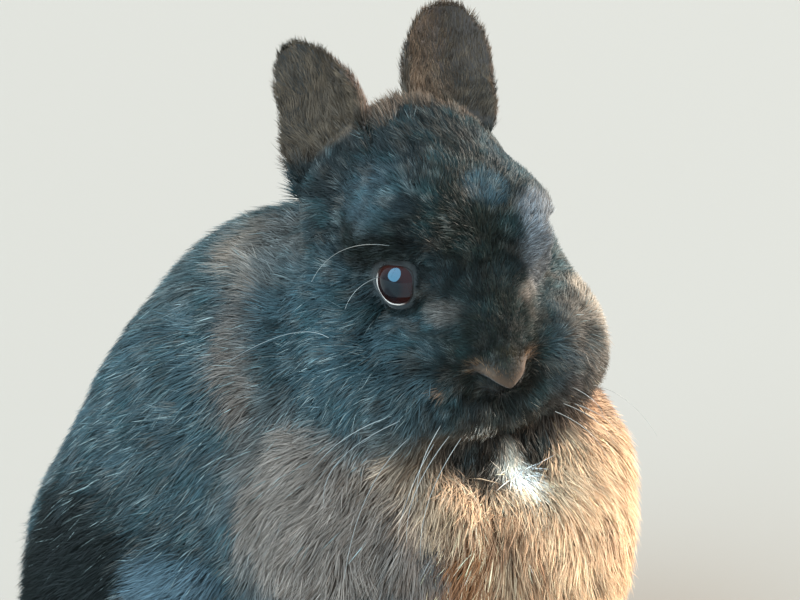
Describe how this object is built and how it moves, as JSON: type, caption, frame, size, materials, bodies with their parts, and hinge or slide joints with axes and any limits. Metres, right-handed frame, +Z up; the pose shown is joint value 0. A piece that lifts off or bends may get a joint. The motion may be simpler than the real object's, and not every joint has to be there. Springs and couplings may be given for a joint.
{
  "type": "netherland dwarf rabbit",
  "caption": "Life-size still model of a sitting dwarf rabbit with a round head turned to its right, short upright ears, short dense coat and feet flat on the floor.",
  "frame": {"origin": "middle of the bounding box's floor, under the belly", "axes": "the body faces -Y with its tail towards +Y, its left side is +X, +Z is up; the head is turned to its right, towards -X"},
  "size_m": [0.1182, 0.1982, 0.1978],
  "materials": {
    "coat": "short dense black fur with a bluish sheen, brown on the chest",
    "ear_coat": "very short thin fur over skin",
    "eye": "wet gloss, dark brown",
    "claw": "dark horn, satin"
  },
  "bodies": {
    "root": {"ear_left": "ear_coat", "ear_right": "ear_coat", "eye_left": "eye", "eye_right": "eye", "fore_claw_left_1": "claw", "fore_claw_left_2": "claw", "fore_claw_left_3": "claw", "fore_claw_left_4": "claw", "fore_claw_right_1": "claw", "fore_claw_right_2": "claw", "fore_claw_right_3": "claw", "fore_claw_right_4": "claw", "fore_foot_left": "coat", "fore_foot_right": "coat", "fore_leg_left": "coat", "fore_leg_right": "coat", "head": "coat", "hind_claw_left_1": "claw", "hind_claw_left_2": "claw", "hind_claw_left_3": "claw", "hind_claw_left_4": "claw", "hind_claw_right_1": "claw", "hind_claw_right_2": "claw", "hind_claw_right_3": "claw", "hind_claw_right_4": "claw", "hind_foot_left": "coat", "hind_foot_right": "coat", "hind_leg_left": "coat", "hind_leg_right": "coat", "neck": "coat", "tail": "coat", "torso": "coat"}
  },
  "joints": []
}
